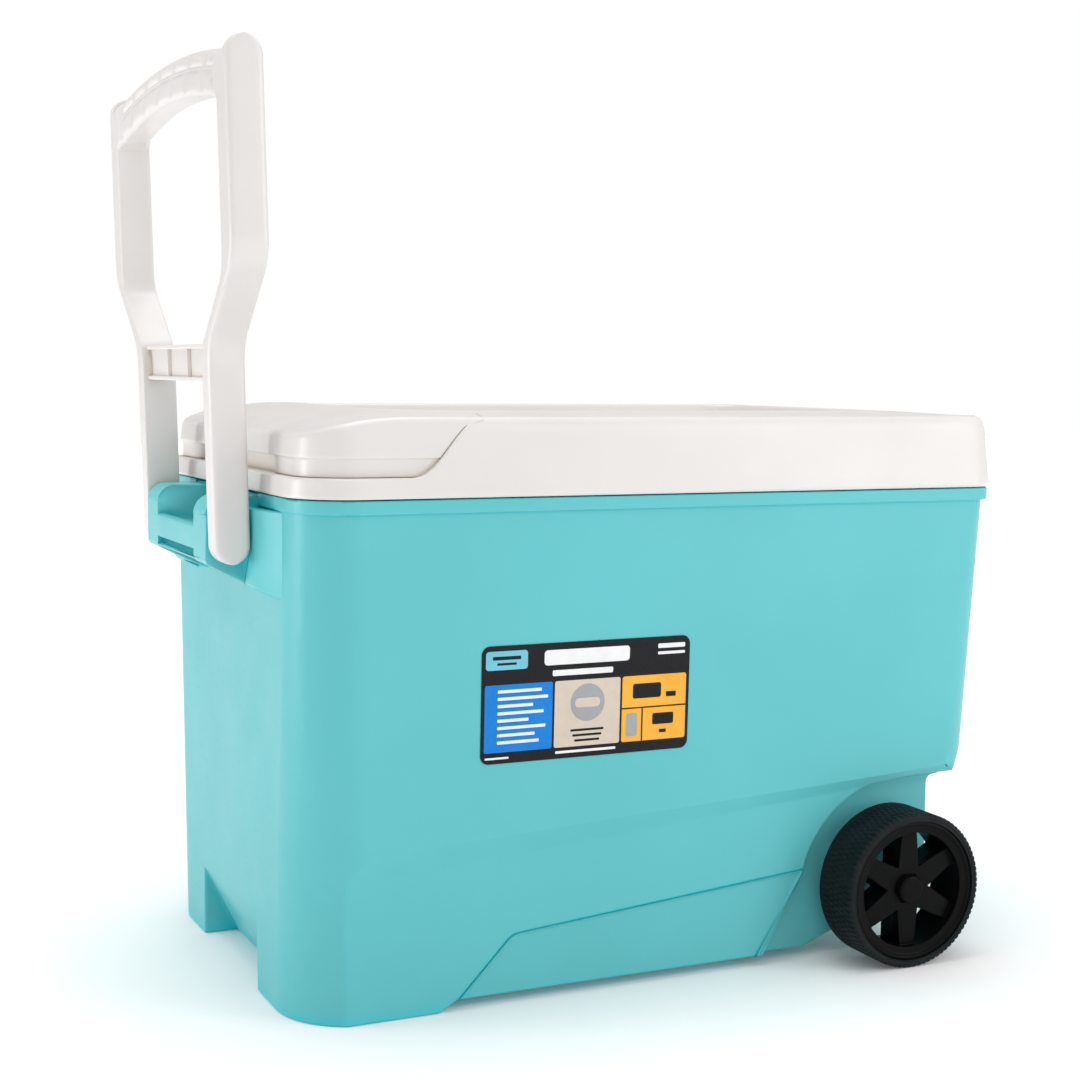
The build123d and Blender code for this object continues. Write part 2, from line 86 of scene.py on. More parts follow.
def mix(a, b, t):
    return a + (b - a) * t


def spread(low, high, count):
    """count values from low up to, but not including, high."""
    return [low + (high - low) * i / count for i in range(count)]


# ---------------------------------------------------------------- camera, light and floor
WORLD_LIGHT = 0.57
WORLD_SEEN = 1.0
SOFTBOXES = (  # name, place, the point it faces and size in metres, power in watts
    ("top_softbox", (-0.2, 0.25, 3.2), (0, 0, 0.2), (2.6, 2.0), 60),
    ("left_softbox", (-1.4, 0.3, 0.3), (-0.27, -0.1, 0.15), (0.3, 0.56), 4.2),
    ("right_softbox", (1.5, -1.7, 0.95), (0.1, -0.17, 0.2), (1.1, 1.7), 18),
    ("front_fill", (-0.9, -2.0, 1.9), (-0.1, -0.17, 0.1), (1.2, 0.8), 7),
)
FLOOR_HALF = 9.0
PAPER_GREY = (0.9, 0.9, 0.9)
GLOW_FROM, GLOW_TO = 0.28, 2.6
GLOW_NEAR, GLOW_FAR = 0.06, 0.58


def camera():
    """A camera at the photograph's viewing angle."""
    data = bpy.data.cameras.new("camera")
    data.sensor_width = 36.0
    data.lens = 61.02
    data.clip_end = 50.0
    cam = bpy.data.objects.new("camera", data)
    right = Vector((0.90564, -0.42392, 0.0106))
    up = Vector((0.02967, 0.08829, 0.99565))
    away = Vector((0.42302, 0.90138, -0.09254))
    place = Vector((-0.60799, -1.2768, 0.4330))
    turn = Matrix((right, up, -away)).transposed()
    cam.matrix_world = Matrix.Translation(place) @ turn.to_4x4()
    bpy.context.scene.collection.objects.link(cam)
    bpy.context.scene.camera = cam


def softbox(name, place, target, size, power):
    data = bpy.data.lights.new(name, "AREA")
    data.shape = "RECTANGLE"
    data.size, data.size_y = size
    data.energy = power
    lamp = bpy.data.objects.new(name, data)
    lamp.location = place
    lamp.rotation_mode = "QUATERNION"
    lamp.rotation_quaternion = (Vector(target) - Vector(place)).to_track_quat("-Z", "Y")
    bpy.context.scene.collection.objects.link(lamp)


def studio():
    """A white surround that the camera sees at full strength and that lights less, with four softboxes."""
    scene = bpy.context.scene
    scene.view_settings.view_transform = "Standard"
    world = bpy.data.worlds.new("studio")
    scene.world = world
    world.use_nodes = True
    nodes, links = world.node_tree.nodes, world.node_tree.links
    backdrop = nodes["Background"]
    backdrop.inputs["Color"].default_value = (1.0, 1.0, 1.0, 1.0)
    seen = nodes.new("ShaderNodeLightPath").outputs["Is Camera Ray"]
    strength = nodes.new("ShaderNodeMapRange")
    strength.inputs["To Min"].default_value = WORLD_LIGHT
    strength.inputs["To Max"].default_value = WORLD_SEEN
    links.new(seen, strength.inputs["Value"])
    links.new(strength.outputs["Result"], backdrop.inputs["Strength"])
    for box in SOFTBOXES:
        softbox(*box)


def floor():
    """White paper that glows a little, and more with the distance, so that it meets the backdrop unseen."""
    corners = [(x * FLOOR_HALF, y * FLOOR_HALF, 0) for x, y in ((-1, -1), (1, -1), (1, 1), (-1, 1))]
    mesh = bpy.data.meshes.new("floor")
    mesh.from_pydata(corners, [], [(0, 1, 2, 3)])
    plane = bpy.data.objects.new("floor", mesh)
    bpy.context.scene.collection.objects.link(plane)
    look = Look("floor_paper", PAPER_GREY, 0.9)
    look.feed(look.shader.inputs["Specular IOR Level"], 0.1)
    look.feed(look.shader.inputs["Emission Color"], (1.0, 1.0, 1.0, 1.0))
    away = look.tree.nodes.new("ShaderNodeVectorMath")
    away.operation = "LENGTH"
    look.feed(away.inputs[0], look.place)
    glow = look.ramp(away.outputs["Value"], GLOW_FROM, GLOW_TO, GLOW_NEAR, GLOW_FAR)
    look.feed(look.shader.inputs["Emission Strength"], glow)
    mesh.materials.append(look.material)


# ---------------------------------------------------------------- materials
class Look:
    """A material with one Principled shader, and short calls that add nodes to it."""

    def __init__(self, name, colour, roughness):
        self.material = bpy.data.materials.new(name)
        self.material.use_nodes = True
        self.tree = self.material.node_tree
        self.shader = self.tree.nodes["Principled BSDF"]
        self.place = self.tree.nodes.new("ShaderNodeTexCoord").outputs["Object"]
        self.feed(self.shader.inputs["Base Color"], (*colour, 1.0))
        self.feed(self.shader.inputs["Roughness"], roughness)

    def feed(self, socket, value):
        if isinstance(value, bpy.types.NodeSocket):
            self.tree.links.new(value, socket)
        else:
            socket.default_value = value

    def noise(self, scale, detail=3.0, stretch=(1.0, 1.0, 1.0), roughness=0.55):
        """Fractal noise from 0 to 1, with scale in cycles per metre."""
        place = self.place
        if stretch != (1.0, 1.0, 1.0):
            mapping = self.tree.nodes.new("ShaderNodeMapping")
            mapping.inputs["Scale"].default_value = stretch
            self.tree.links.new(place, mapping.inputs["Vector"])
            place = mapping.outputs["Vector"]
        node = self.tree.nodes.new("ShaderNodeTexNoise")
        node.inputs["Scale"].default_value = scale
        node.inputs["Detail"].default_value = detail
        node.inputs["Roughness"].default_value = roughness
        self.tree.links.new(place, node.inputs["Vector"])
        return node.outputs["Fac"]

    def ramp(self, value, from_low, from_high, to_low=0.0, to_high=1.0):
        """value's range from_low to from_high, spread over to_low to to_high and held at the ends."""
        node = self.tree.nodes.new("ShaderNodeMapRange")
        for name, number in (
            ("From Min", from_low), ("From Max", from_high), ("To Min", to_low), ("To Max", to_high),
        ):
            node.inputs[name].default_value = number
        self.tree.links.new(value, node.inputs["Value"])
        return node.outputs["Result"]

    def maths(self, operation, a, b):
        node = self.tree.nodes.new("ShaderNodeMath")
        node.operation = operation
        self.feed(node.inputs[0], a)
        self.feed(node.inputs[1], b)
        return node.outputs["Value"]

    def blend(self, share, a, b):
        """Colour a at share 0, colour b at share 1."""
        node = self.tree.nodes.new("ShaderNodeMix")
        node.data_type = "RGBA"
        for socket, value in ((0, share), (6, a), (7, b)):  # the factor, and the colour form of A and B
            self.feed(node.inputs[socket], value)
        return node.outputs[2]

    def edges(self, low, high):
        """1 on convex edges, 0 on flat faces."""
        node = self.tree.nodes.new("ShaderNodeNewGeometry")
        return self.ramp(node.outputs["Pointiness"], low, high)

    def hollows(self, distance, low=0.35, high=0.95):
        """1 deep in a recess, 0 in the open."""
        node = self.tree.nodes.new("ShaderNodeAmbientOcclusion")
        node.samples = 6
        node.inputs["Distance"].default_value = distance
        return self.ramp(node.outputs["AO"], low, high, 1.0, 0.0)

    def bump(self, height, distance, strength=1.0, under=None):
        """A normal from a height; distance is its depth in metres, and under is a bump that it lies on."""
        node = self.tree.nodes.new("ShaderNodeBump")
        node.inputs["Strength"].default_value = strength
        node.inputs["Distance"].default_value = distance
        self.tree.links.new(height, node.inputs["Height"])
        if under is not None:
            self.tree.links.new(under, node.inputs["Normal"])
        return node.outputs["Normal"]


def rgba(colour, factor=1.0):
    return tuple(min(1.0, channel * factor) for channel in colour) + (1.0,)


def moulded_plastic(name, colour, deep, roughness, edge_gain=1.12, sink=0.00025):
    """Injection-moulded plastic: faint flow mottling, fine spark grain, painted shade in the recesses, edges
    lightened as rubbing wear and painted highlight, sink marks, scuffs.
    """
    look = Look(name, colour, roughness)
    mottle = look.noise(7.0, 4.0)
    base = look.blend(look.ramp(mottle, 0.3, 0.7), rgba(colour, 0.965), rgba(colour, 1.03))
    speck = look.noise(420.0, 2.0)
    base = look.blend(look.ramp(speck, 0.62, 0.8, 0.0, 0.10), base, rgba(colour, 0.86))
    # painted shade: recesses are tinted towards the deep colour, standing in for the shade and the light
    # bounced round inside them
    base = look.blend(look.hollows(0.016, 0.25, 0.8), base, rgba(deep))
    # edges lightened by edge_gain: partly rubbing wear, partly a painted edge highlight
    rubbed_and_highlit = look.maths("MULTIPLY", look.edges(0.515, 0.60), 0.55)
    base = look.blend(rubbed_and_highlit, base, rgba(colour, edge_gain))
    look.feed(look.shader.inputs["Base Color"], base)
    streaks = look.noise(60.0, 5.0, stretch=(1.0, 1.0, 9.0))
    handled = look.ramp(look.noise(18.0, 4.0), 0.3, 0.7, -0.05, 0.05)
    worn = look.maths("ADD", handled, look.ramp(streaks, 0.55, 0.75, 0.0, 0.07))
    look.feed(look.shader.inputs["Roughness"], look.maths("ADD", worn, roughness))
    wave = look.bump(look.noise(5.0, 1.0), sink * 8)
    grain = look.bump(look.noise(1500.0, 2.0), 0.00003, 0.6, wave)
    look.feed(look.shader.inputs["Normal"], look.bump(streaks, 0.00003, 0.4, grain))
    return look


def teal_look():
    # the second colour is the painted shade of the recesses: a deeper, more saturated teal for light bounced
    # inside them
    look = moulded_plastic("teal_moulding", (0.108, 0.478, 0.508), (0.004, 0.58, 0.66), 0.36)
    look.feed(look.shader.inputs["Specular IOR Level"], 0.28)
    return look


def white_look():
    # the second colour is the painted shade of the recesses: a tan
    look = moulded_plastic("white_moulding", (0.675, 0.648, 0.632), (0.64, 0.57, 0.46), 0.33)
    look.feed(look.shader.inputs["Subsurface Weight"], 0.10)
    look.feed(look.shader.inputs["Subsurface Radius"], (0.004, 0.003, 0.002))
    return look


def liner_look():
    # the second colour is the painted shade of the recesses
    return moulded_plastic("white_liner", (0.80, 0.80, 0.785), (0.55, 0.55, 0.53), 0.2, 1.03)


def black_look():
    # the second colour is the painted shade of the recesses, and 2.6 lightens the edges as wear and painted
    # highlight
    look = moulded_plastic("black_moulding", (0.0036, 0.0036, 0.0039), (0.001, 0.001, 0.001), 0.34, 2.6)
    look.feed(look.shader.inputs["Specular IOR Level"], 0.06)
    return look


def rubber_look():
    """Tyre rubber: matt black with a little dust on the high edges."""
    colour = (0.0085, 0.0115, 0.0125)
    look = Look("tyre_rubber", colour, 0.55)
    look.feed(look.shader.inputs["Specular IOR Level"], 0.11)
    dust = look.maths("MULTIPLY", look.edges(0.51, 0.62), look.ramp(look.noise(55.0, 5.0), 0.4, 0.7))
    base = look.blend(look.ramp(look.noise(30.0, 4.0), 0.3, 0.7), rgba(colour, 0.7), rgba(colour, 1.35))
    base = look.blend(look.maths("MULTIPLY", dust, 0.5), base, (0.05, 0.05, 0.05, 1))
    look.feed(look.shader.inputs["Base Color"], base)
    look.feed(look.shader.inputs["Roughness"], look.ramp(look.noise(80.0, 4.0), 0.2, 0.8, 0.45, 0.66))
    pits = look.bump(look.noise(900.0, 3.0), 0.00008, 0.8)
    look.feed(look.shader.inputs["Normal"], look.bump(look.noise(130.0, 3.0), 0.00012, 0.5, pits))
    return look


def steel_look():
    """Turned or drawn steel: fine lines along and round the part, a little tarnish in the hollows."""
    colour = (0.56, 0.56, 0.57)
    look = Look("zinc_plated_steel", colour, 0.3)
    look.feed(look.shader.inputs["Metallic"], 1.0)
    lines = look.noise(240.0, 4.0, stretch=(1.0, 14.0, 1.0))
    base = look.blend(look.ramp(look.noise(90.0, 4.0), 0.35, 0.7), rgba(colour, 0.82), rgba(colour, 1.12))
    look.feed(look.shader.inputs["Base Color"], look.blend(look.hollows(0.006), base, (0.22, 0.2, 0.17, 1)))
    look.feed(look.shader.inputs["Roughness"], look.ramp(lines, 0.2, 0.8, 0.22, 0.42))
    look.feed(look.shader.inputs["Normal"], look.bump(lines, 0.00002, 0.5))
    return look


def foam_look():
    """Rigid foam: small closed cells under a smooth skin."""
    colour = (0.80, 0.72, 0.50)
    look = Look("rigid_foam", colour, 0.85)
    cells = look.noise(600.0, 3.0)
    base = look.blend(look.ramp(cells, 0.3, 0.7), rgba(colour, 0.85), rgba(colour, 1.1))
    look.feed(look.shader.inputs["Base Color"], base)
    look.feed(look.shader.inputs["Normal"], look.bump(cells, 0.0004, 0.8))
    return look


def film_look(name, colour):
    """Printed and varnished label film, with the faint orange peel of its adhesive."""
    look = Look(name, colour, 0.28)
    look.feed(look.shader.inputs["Specular IOR Level"], 0.12)
    fade = look.ramp(look.noise(40.0, 3.0), 0.3, 0.7)
    look.feed(look.shader.inputs["Base Color"], look.blend(fade, rgba(colour, 0.93), rgba(colour, 1.05)))
    look.feed(look.shader.inputs["Roughness"], look.ramp(look.noise(160.0, 4.0), 0.3, 0.7, 0.2, 0.36))
    look.feed(look.shader.inputs["Normal"], look.bump(look.noise(260.0, 2.0), 0.00004, 0.5))
    return look


LOOKS = {
    "teal_plastic": teal_look(), "white_plastic": white_look(), "white_liner": liner_look(),
    "black_plastic": black_look(), "tyre_rubber": rubber_look(), "steel": steel_look(),
    "foam": foam_look(), "label_film": film_look("label_black", (0.012, 0.012, 0.014)),
}


# ---------------------------------------------------------------- pieces
WELD = 0.00002
SHORTEST_EDGE = 0.00005
WIDEST_ROUNDING = 4.0


def add_piece(name, mesh, body, slot, material=None):
    piece = bpy.data.objects.new(name, mesh)
    bpy.context.scene.collection.objects.link(piece)
    mesh.materials.clear()
    mesh.materials.append(material or LOOKS[slot].material)
    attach(piece, body)
    return piece


def grid(rows, closed_rows=False):
    """Points and faces from rows that each go once round; rows close into a torus or end in flat caps."""
    count = len(rows[0])
    points = [at(*p) for row in rows for p in row]
    faces = []
    last = len(rows) if closed_rows else len(rows) - 1
    for r in range(last):
        a, b = r * count, (r + 1) % len(rows) * count
        for c in range(count):
            d = (c + 1) % count
            faces.append((a + c, a + d, b + d, b + c))
    if not closed_rows:
        faces.append(tuple(reversed(range(count))))
        faces.append(tuple(range((len(rows) - 1) * count, len(rows) * count)))
    return points, faces


def grid_mesh(name, *grids):
    """One mesh from one or more grids, with every closed part's faces turned outwards."""
    points, faces = [], []
    for some_points, some_faces in grids:
        start = len(points)
        points += some_points
        faces += [tuple(start + i for i in face) for face in some_faces]
    mesh = bpy.data.meshes.new(name)
    mesh.from_pydata(points, [], faces)
    form = bmesh.new()
    form.from_mesh(mesh)
    bmesh.ops.recalc_face_normals(form, faces=form.faces)
    form.to_mesh(mesh)
    form.free()
    mesh.shade_smooth()
    return mesh


def soft_copy(node, width, sharp=28.0, flat=0.6):
    """
    A copy of a CAD node with its edges rounded. width(middle, length) gives an edge's radius in mm.
    An edge that turns by more than sharp degrees is rounded; faces within flat degrees are joined first.
    """
    mesh = NODES[node].data.copy()
    form = bmesh.new()
    form.from_mesh(mesh)
    bmesh.ops.remove_doubles(form, verts=form.verts, dist=WELD)
    bmesh.ops.dissolve_degenerate(form, edges=form.edges, dist=SHORTEST_EDGE)
    bmesh.ops.dissolve_limit(form, angle_limit=math.radians(flat), verts=form.verts, edges=form.edges)
    weights = form.edges.layers.float.new("bevel_weight_edge")
    for edge in form.edges:
        if len(edge.link_faces) == 2 and edge.calc_face_angle() > math.radians(sharp):
            middle = (edge.verts[0].co + edge.verts[1].co) / 2 / MM
            middle.x -= LID_CENTRE
            edge[weights] = width(middle, edge.calc_length() / MM) / WIDEST_ROUNDING
            edge.smooth = edge[weights] > 0
    form.to_mesh(mesh)
    form.free()
    for face in mesh.polygons:
        face.use_smooth = True
    piece = add_piece(node + "_form", mesh, BODY_OF[node], SLOT_OF[node])
    bevel = piece.modifiers.new("edges", "BEVEL")
    bevel.limit_method = "WEIGHT"
    bevel.width = WIDEST_ROUNDING * MM
    bevel.segments = 3
    bevel.use_clamp_overlap = False
    normals = piece.modifiers.new("normals", "WEIGHTED_NORMAL")
    normals.keep_sharp = True
    normals.weight = 80
    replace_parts(piece, node)


# ---------------------------------------------------------------- lid
S_PULL = 62.0
SHOULDER_Z = 387.0
SHOULDER_INSET = 4.3
SHOULDER_ROLL = 7.9
RIM_EDGE_R, LOW_EDGE_R = 0.25, 1.5
CROWN_START, CROWN_RUN = 10.0, 62.0
HUMP_X, HUMP_REACH, HUMP_RISE = -205.0, 60.0, 1.6
END_RUN, END_DROP = 72.0, 14.5
LIP_INSET = 5.5
CREST_INSET = 6.6
CREST_ROLL = 5.0
UNDER_FRAME_INSET = 13.1
UNDER_FRAME_ROLL = 1.6
LIP_TOP = 376.4
RIM_ROLL = 3.0


def s_curve(t):
    """The S-shaped step in the lid's frame: (x, z) and its outward normal at t from 0 to 1."""
    rise = SKIRT_TOP - LOW_SKIRT
    run = S_HIGH - S_LOW
    square, cube = 3 * run - 3 * S_PULL, 2 * S_PULL - 2 * run
    x = S_LOW + S_PULL * t + square * t ** 2 + cube * t ** 3
    z = LOW_SKIRT + rise * (3 * t ** 2 - 2 * t ** 3)
    dx = S_PULL + 2 * square * t + 3 * cube * t ** 2
    dz = rise * 6 * t * (1 - t)
    length = math.hypot(dx, dz)
    return x, z, -dz / length, dx / length


def s_curve_x(z):
    """Where the S-shaped step is at height z."""
    low, high = 0.0, 1.0
    for _ in range(24):
        middle = (low + high) / 2
        if s_curve(middle)[1] < z:
            low = middle
        else:
            high = middle
    return s_curve(low)[0]


def unit(degrees):
    return math.cos(math.radians(degrees)), math.sin(math.radians(degrees))


def half_outline(side_xs):
    """(x, y, inward normal x, inward normal y) from the middle of the handle end round the -Y side."""
    columns = [(-HALF_LENGTH, -y, 1.0, 0.0) for y in spread(0.0, HALF_WIDTH - R_HANDLE, 12)]
    for angle in spread(180.0, 270.0, 14):
        dx, dy = unit(angle)
        columns.append((-HALF_LENGTH + R_HANDLE * (1 + dx), -HALF_WIDTH + R_HANDLE * (1 + dy), -dx, -dy))
    columns += [(x, -HALF_WIDTH, 0.0, 1.0) for x in side_xs]
    for angle in spread(270.0, 360.0, 10):
        dx, dy = unit(angle)
        columns.append((HALF_LENGTH - R_WHEEL * (1 - dx), -HALF_WIDTH + R_WHEEL * (1 + dy), -dx, -dy))
    columns += [(HALF_LENGTH, y, -1.0, 0.0) for y in spread(R_WHEEL - HALF_WIDTH, 0.0, 12)]
    columns.append((HALF_LENGTH, 0.0, -1.0, 0.0))
    return columns


def mirrored(half):
    """Columns of one half, then the other half's in reverse, without the two on the middle line again."""
    other = [(x, -y, nx, -ny, *rest) for x, y, nx, ny, *rest in half[1:-1]]
    return half + other[::-1]


def frame_inset(z):
    """How far the frame's face stands inside the outline at height z: draft, then a rounded shoulder."""
    if z <= SHOULDER_Z:
        return max(SHOULDER_INSET * (z - LID_BOTTOM) / (SHOULDER_Z - LID_BOTTOM), 0.0)
    t = min((z - SHOULDER_Z) / (SKIRT_TOP - SHOULDER_Z), 1.0)
    return SHOULDER_INSET + SHOULDER_ROLL * (1 - math.sqrt(1 - t * t))


def lid_frame_mesh():
    """The frame as a closed ring: each column goes from its bottom edge up the face and down behind."""
    steps = 64
    s_points = [s_curve(i / steps) for i in range(steps + 1)]
    before = spread(-HALF_LENGTH + R_HANDLE, S_LOW, 6)
    after = spread(S_HIGH, HALF_LENGTH - R_WHEEL, 26)[1:]
    xs = before + [p[0] for p in s_points] + after
    tops = [(x, LOW_SKIRT, 0.0, 1.0) for x in before] + s_points + [(x, SKIRT_TOP, 0.0, 1.0) for x in after]
    half = []
    for x, y, nx, ny in half_outline(xs):
        top = (x, LOW_SKIRT if x < S_MIDDLE else SKIRT_TOP, 0.0, 1.0)
        half.append([x, y, nx, ny, top])
    side_start = next(i for i, c in enumerate(half) if c[3] == 1.0 and c[0] == xs[0])
    for i, top in enumerate(tops):
        half[side_start + i][4] = top
    columns = mirrored([tuple(c) for c in half])

    def point(column, along, down, inset=0.0, from_outline=False):
        """
        A point a share of the way up to the spot that is down mm below the column's top edge, along
        that edge's normal. It is inset from the frame's face, or else from the outline.
        """
        x, y, nx, ny, (_, top_z, slope_x, slope_z) = column
        z = top_z - down * slope_z
        shift = -down * slope_x
        if along < 1.0:
            z = mix(LID_BOTTOM, z, along)
            shift *= along
        if not from_outline:
            inset = frame_inset(z) + inset
        return (x + shift + nx * inset, y + ny * inset, z)

    rows = []
    for inset, along in ((1.2, 0.0), (0.35, 0.012), (0.05, 0.05)):
        rows.append([point(c, along, 1.0, inset, True) for c in columns])
    for along in (0.2, 0.4, 0.55, 0.66, 0.74, 0.8, 0.85, 0.89, 0.925, 0.95, 0.97, 0.985, 1.0):
        rows.append([point(c, along, edge_radius(c)) for c in columns])
    for angle in (30.0, 60.0, 90.0):
        across, up = unit(angle)
        rows.append([
            point(c, 1.0, edge_radius(c) * (1 - up), edge_radius(c) * (1 - across)) for c in columns
        ])
    for down in (0.0, 3.0):
        rows.append([point(c, 1.0, down, CORE_INSET - 0.2, True) for c in columns])
    rows.append([point(c, 1.0, 3.2 if c[4][1] < 390 else 8.0, 3.0) for c in columns])
    rows.append([point(c, 0.0, 0.0, 3.0, True) for c in columns])
    return grid_mesh("lid_frame_skin", grid(rows, True))


def edge_radius(column):
    """The rounding of the frame's top edge: crisp along the rim, softer along the S and the low skirt."""
    rim = smooth((column[4][1] - 390.0) / 10.0)
    return mix(LOW_EDGE_R, RIM_EDGE_R, rim)


def edge_distance(x, y):
    """Distance from a point on the lid to its outline."""
    r = R_HANDLE if x < 0 else R_WHEEL
    qx, qy = abs(x) - HALF_LENGTH + r, abs(y) - HALF_WIDTH + r
    outside = math.hypot(max(qx, 0.0), max(qy, 0.0))
    return r - outside - min(max(qx, qy), 0.0)


def crown_height(x, y):
    """The lid's top face: a low crown that rolls down towards the handle end."""
    rise = (RIM_Z - SKIRT_TOP) * smooth((edge_distance(x, y) - CROWN_START) / CROWN_RUN)
    hump = HUMP_RISE * smooth(1 - abs(x - HUMP_X) / HUMP_REACH) * (1 - (y / HALF_WIDTH) ** 2)
    end = min(max((x + HALF_LENGTH) / END_RUN, 0.0), 1.0)
    drop = END_DROP * (1 - end) ** 2.0
    return SKIRT_TOP + rise + hump - drop


def tray_point(x, y):
    """The point of the tray's rim that goes with a point on the lid's outline, and its inward normal."""
    r = TRAY["r"]
    if -HALF_LENGTH + R_HANDLE <= x <= HALF_LENGTH - R_WHEEL:
        share = (x + HALF_LENGTH - R_HANDLE) / (2 * HALF_LENGTH - R_HANDLE - R_WHEEL)
        side = math.copysign(1.0, y)
        return mix(TRAY["x_low"] + r, TRAY["x_high"] - r, share), side * TRAY["half_y"], 0.0, -side
    cx = TRAY["x_low"] + r if x < 0 else TRAY["x_high"] - r
    corner = R_HANDLE if x < 0 else R_WHEEL
    if abs(y) < HALF_WIDTH - corner:
        ty = y * (TRAY["half_y"] - r) / (HALF_WIDTH - corner)
        edge = TRAY["x_low"] if x < 0 else TRAY["x_high"]
        return edge, ty, -math.copysign(1.0, x), 0.0
    ox = x - math.copysign(HALF_LENGTH - corner, x)
    oy = y - math.copysign(HALF_WIDTH - corner, y)
    length = math.hypot(ox, oy)
    ux, uy = ox / length, oy / length
    return cx + r * ux, math.copysign(TRAY["half_y"] - r, y) + r * uy, -ux, -uy


def lid_top_mesh():
    """
    The lid's top as one closed skin: up the finger band, round the lip and the crest, over the crown
    and down into the tray. Past the S-shaped step its side is hidden behind the frame's.
    """
    left = [-225.0, -217.0, -210.0, -204.0, -199.0, -194.0, -189.0, -185.0, -181.0, -178.0, -176.0, -174.5]
    right = [-171.5, -170.0, -167.0, -163.0, -158.0, -152.0, -145.0, -137.0, -128.0, -118.0]
    xs = [-232.0] + left + [S_MIDDLE - 0.6, S_MIDDLE - 0.1] + right
    xs += spread(-106.0, HALF_LENGTH - R_WHEEL, 24)
    columns = []
    for x, y, nx, ny in half_outline(xs):
        columns.append((x, y, nx, ny, x > S_MIDDLE - 0.3 if abs(ny) == 1.0 else x > 0))
    columns = mirrored(columns)

    def warped(column, z):
        """The column's x at height z: near the S-shaped step it follows the step."""
        x, _, _, ny, hidden = column
        if abs(ny) != 1.0:
            return x
        reach = 55.0 if hidden else 50.0
        share = smooth(1 - abs(x - S_MIDDLE) / reach)
        return x + share * (s_curve_x(min(max(z, LIP), SKIRT_TOP)) - S_MIDDLE)

    def point(column, z, shown_inset, hidden_inset=UNDER_FRAME_INSET):
        _, y, nx, ny, hidden = column
        inset = hidden_inset if hidden else shown_inset
        return (warped(column, z) + nx * inset, y + ny * inset, z)

    def band_inset(column):
        """The finger band is deep behind the tow handle's arms and shallow round the rest."""
        _, y, nx, _, _ = column
        deep = smooth((BAND_DEEP_HALF + 2 - abs(y)) / 4) if nx == 1.0 else 0.0
        return mix(BAND_INSET, CORE_INSET, deep)

    rows = [[point(c, z, CORE_INSET) for c in columns] for z in (352.2, 363.25)]
    band = ((363.3, 0.0), (363.9, 0.0), (369.0, 0.0), (373.2, 0.0), (374.3, -0.15), (374.8, -0.5))
    for z, rounding in band:
        rows.append([point(c, z, band_inset(c) + rounding) for c in columns])
    for z, inset in ((LIP, 6.4), (375.15, 6.0), (375.6, 5.65), (LIP_TOP, LIP_INSET)):
        rows.append([point(c, z, inset) for c in columns])
    crest = []
    for c in columns:
        inset, roll = (UNDER_FRAME_INSET, UNDER_FRAME_ROLL) if c[4] else (CREST_INSET, CREST_ROLL)
        x = warped(c, 398.0) + c[2] * (inset + roll)
        y = c[1] + c[3] * (inset + roll)
        crest.append((crown_height(x, y), inset, roll))
    for share in (0.15, 0.3, 0.45, 0.6, 0.72, 0.82, 0.9, 0.96):
        row = []
        for c, (top, inset, roll) in zip(columns, crest):
            z = mix(LIP_TOP, top - roll, share)
            row.append(point(c, z, mix(LIP_INSET, inset, share), inset))
        rows.append(row)
    for angle in (0.0, 18.0, 36.0, 54.0, 72.0, 90.0):
        across, up = unit(angle)
        row = []
        for c, (top, inset, roll) in zip(columns, crest):
            z = top - roll * (1 - up)
            here = inset + roll * (1 - across)
            row.append((warped(c, min(z + 2.0, SKIRT_TOP)) + c[2] * here, c[1] + c[3] * here, z))
        rows.append(row)
    edge = rows[-1]
    targets = [tray_point(c[0], c[1]) for c in columns]
    for share in (0.06, 0.13, 0.21, 0.3, 0.4, 0.5, 0.6, 0.7, 0.79, 0.87, 0.94, 1.0):
        row = []
        for (ex, ey, ez), (tx, ty, nx, ny) in zip(edge, targets):
            x, y = mix(ex, tx - nx * RIM_ROLL, share), mix(ey, ty - ny * RIM_ROLL, share)
            fix = (ez - crown_height(ex, ey)) * (1 - share) ** 3
            row.append((x, y, crown_height(x, y) + fix))
        rows.append(row)
    for angle in (22.0, 45.0, 68.0):
        across, up = unit(angle)
        out, down = RIM_ROLL * (1 - up), RIM_ROLL * (1 - across)
        rows.append([
            (tx - nx * out, ty - ny * out, crown_height(tx, ty) - down) for tx, ty, nx, ny in targets
        ])
    floor_z = TRAY["floor"]
    floor_edge = 5.0
    for out, up in ((0.9, 2.6), (1.3, 1.5), (2.1, 0.7), (3.4, 0.15), (floor_edge, 0.0)):
        rows.append([(tx + nx * out, ty + ny * out, floor_z + up) for tx, ty, nx, ny in targets])
    middle_x = (TRAY["x_low"] + TRAY["x_high"]) / 2
    for share in (0.25, 0.5, 0.75, 0.95):
        rows.append([
            (mix(tx + nx * floor_edge, middle_x, share), (ty + ny * floor_edge) * (1 - share), floor_z)
            for tx, ty, nx, ny in targets
        ])
    return grid_mesh("lid_top_skin", grid(rows))


def lid():
    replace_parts(add_piece("lid_frame_skin", lid_frame_mesh(), "lid", "white_plastic"), "lid_frame")
    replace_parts(add_piece("lid_top_skin", lid_top_mesh(), "lid", "white_plastic"), "lid_top")


# ---------------------------------------------------------------- tow handle
PIVOT_X = -296.5
PIVOT_Z = 315.0
ARM_HALF_DEPTH = 12.5
ARM_IN = 85.5
ARM_OUT = 103.0
D_IN = 142.5
D_OUT = 166.0
HEAD_Z = 624.0
GRIP_END = 158.0
GRIP_FLAT = 136.5
GRIP_HALF_DEPTH = 10.3
PAD_SWELL = 1.9
PAD_PITCH = 40.0
PAD_ROWS = ((0.05, 0.55, 0.0), (0.64, 0.93, 0.28))  # bottom and top as shares of the height, and offset
PADS_HALF = 128.0
PARTING_LINE = 0.595
PARTING_HALF = 136.0
PARTING_DEPTH = 0.35
HANDLE_LEAN = math.radians(1.65)


